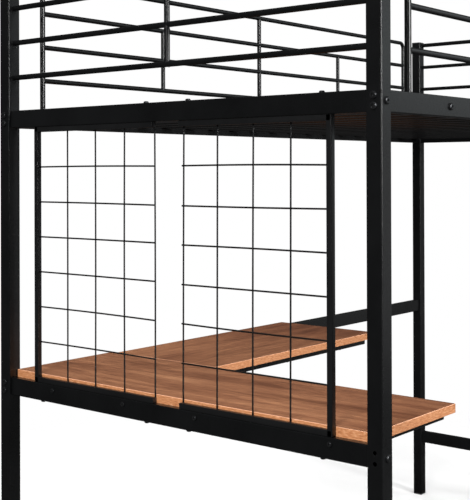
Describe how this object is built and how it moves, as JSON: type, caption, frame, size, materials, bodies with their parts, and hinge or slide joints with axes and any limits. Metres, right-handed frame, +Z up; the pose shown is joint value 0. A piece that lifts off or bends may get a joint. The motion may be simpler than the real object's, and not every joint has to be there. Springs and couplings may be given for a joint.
{
  "type": "loft bed with desk",
  "caption": "Black steel loft bed with round-bar guards, cross slats and a side ladder over an L-shaped wood desk with wire grid panels.",
  "frame": {"origin": "on the floor under the centre of the bed", "axes": "+X along the bed, away from the end with the wire grids; +Y from the ladder side to the back; +Z up"},
  "size_m": [1.9888, 1.0758, 1.713],
  "materials": {
    "black_metal": "satin black powder coat",
    "black_fastener": "black oxide, satin",
    "black_plastic": "matt moulded plastic",
    "desk_wood": "satin laminate with a warm brown wood grain"
  },
  "bodies": {
    "root": {"bed_rail_back": "black_metal", "bed_rail_front": "black_metal", "bed_rail_left": "black_metal", "bed_rail_right": "black_metal", "board_screws": "black_fastener", "desk_board_main": "desk_wood", "desk_board_return": "desk_wood", "desk_frame_end_cap": "black_plastic", "desk_frame_main": "black_metal", "desk_frame_return": "black_metal", "desk_rail_back": "black_metal", "desk_rail_left": "black_metal", "frame_screws": "black_fastener", "grid_bolts": "black_fastener", "guard_back": "black_metal", "guard_front": "black_metal", "guard_left": "black_metal", "guard_right": "black_metal", "ladder_rung_1": "black_metal", "ladder_rung_2": "black_metal", "ladder_rung_3": "black_metal", "ladder_rung_4": "black_metal", "ladder_stile": "black_metal", "low_stretcher_right": "black_metal", "post_back_left": "black_metal", "post_back_right": "black_metal", "post_caps": "black_plastic", "post_feet": "black_plastic", "post_front_left": "black_metal", "post_front_right": "black_metal", "rail_bolts": "black_fastener", "rung_bolts": "black_fastener", "slat_01": "black_metal", "slat_02": "black_metal", "slat_03": "black_metal", "slat_04": "black_metal", "slat_05": "black_metal", "slat_06": "black_metal", "slat_07": "black_metal", "slat_08": "black_metal", "slat_09": "black_metal", "slat_10": "black_metal", "slat_11": "black_metal", "slat_12": "black_metal", "slat_13": "black_metal", "slat_14": "black_metal", "slat_15": "black_metal", "slat_16": "black_metal", "slat_17": "black_metal", "slat_18": "black_metal", "slat_19": "black_metal", "slat_20": "black_metal", "slat_bolts": "black_fastener", "stile_bolt": "black_fastener", "wire_grid_back": "black_metal", "wire_grid_front": "black_metal"}
  },
  "joints": []
}
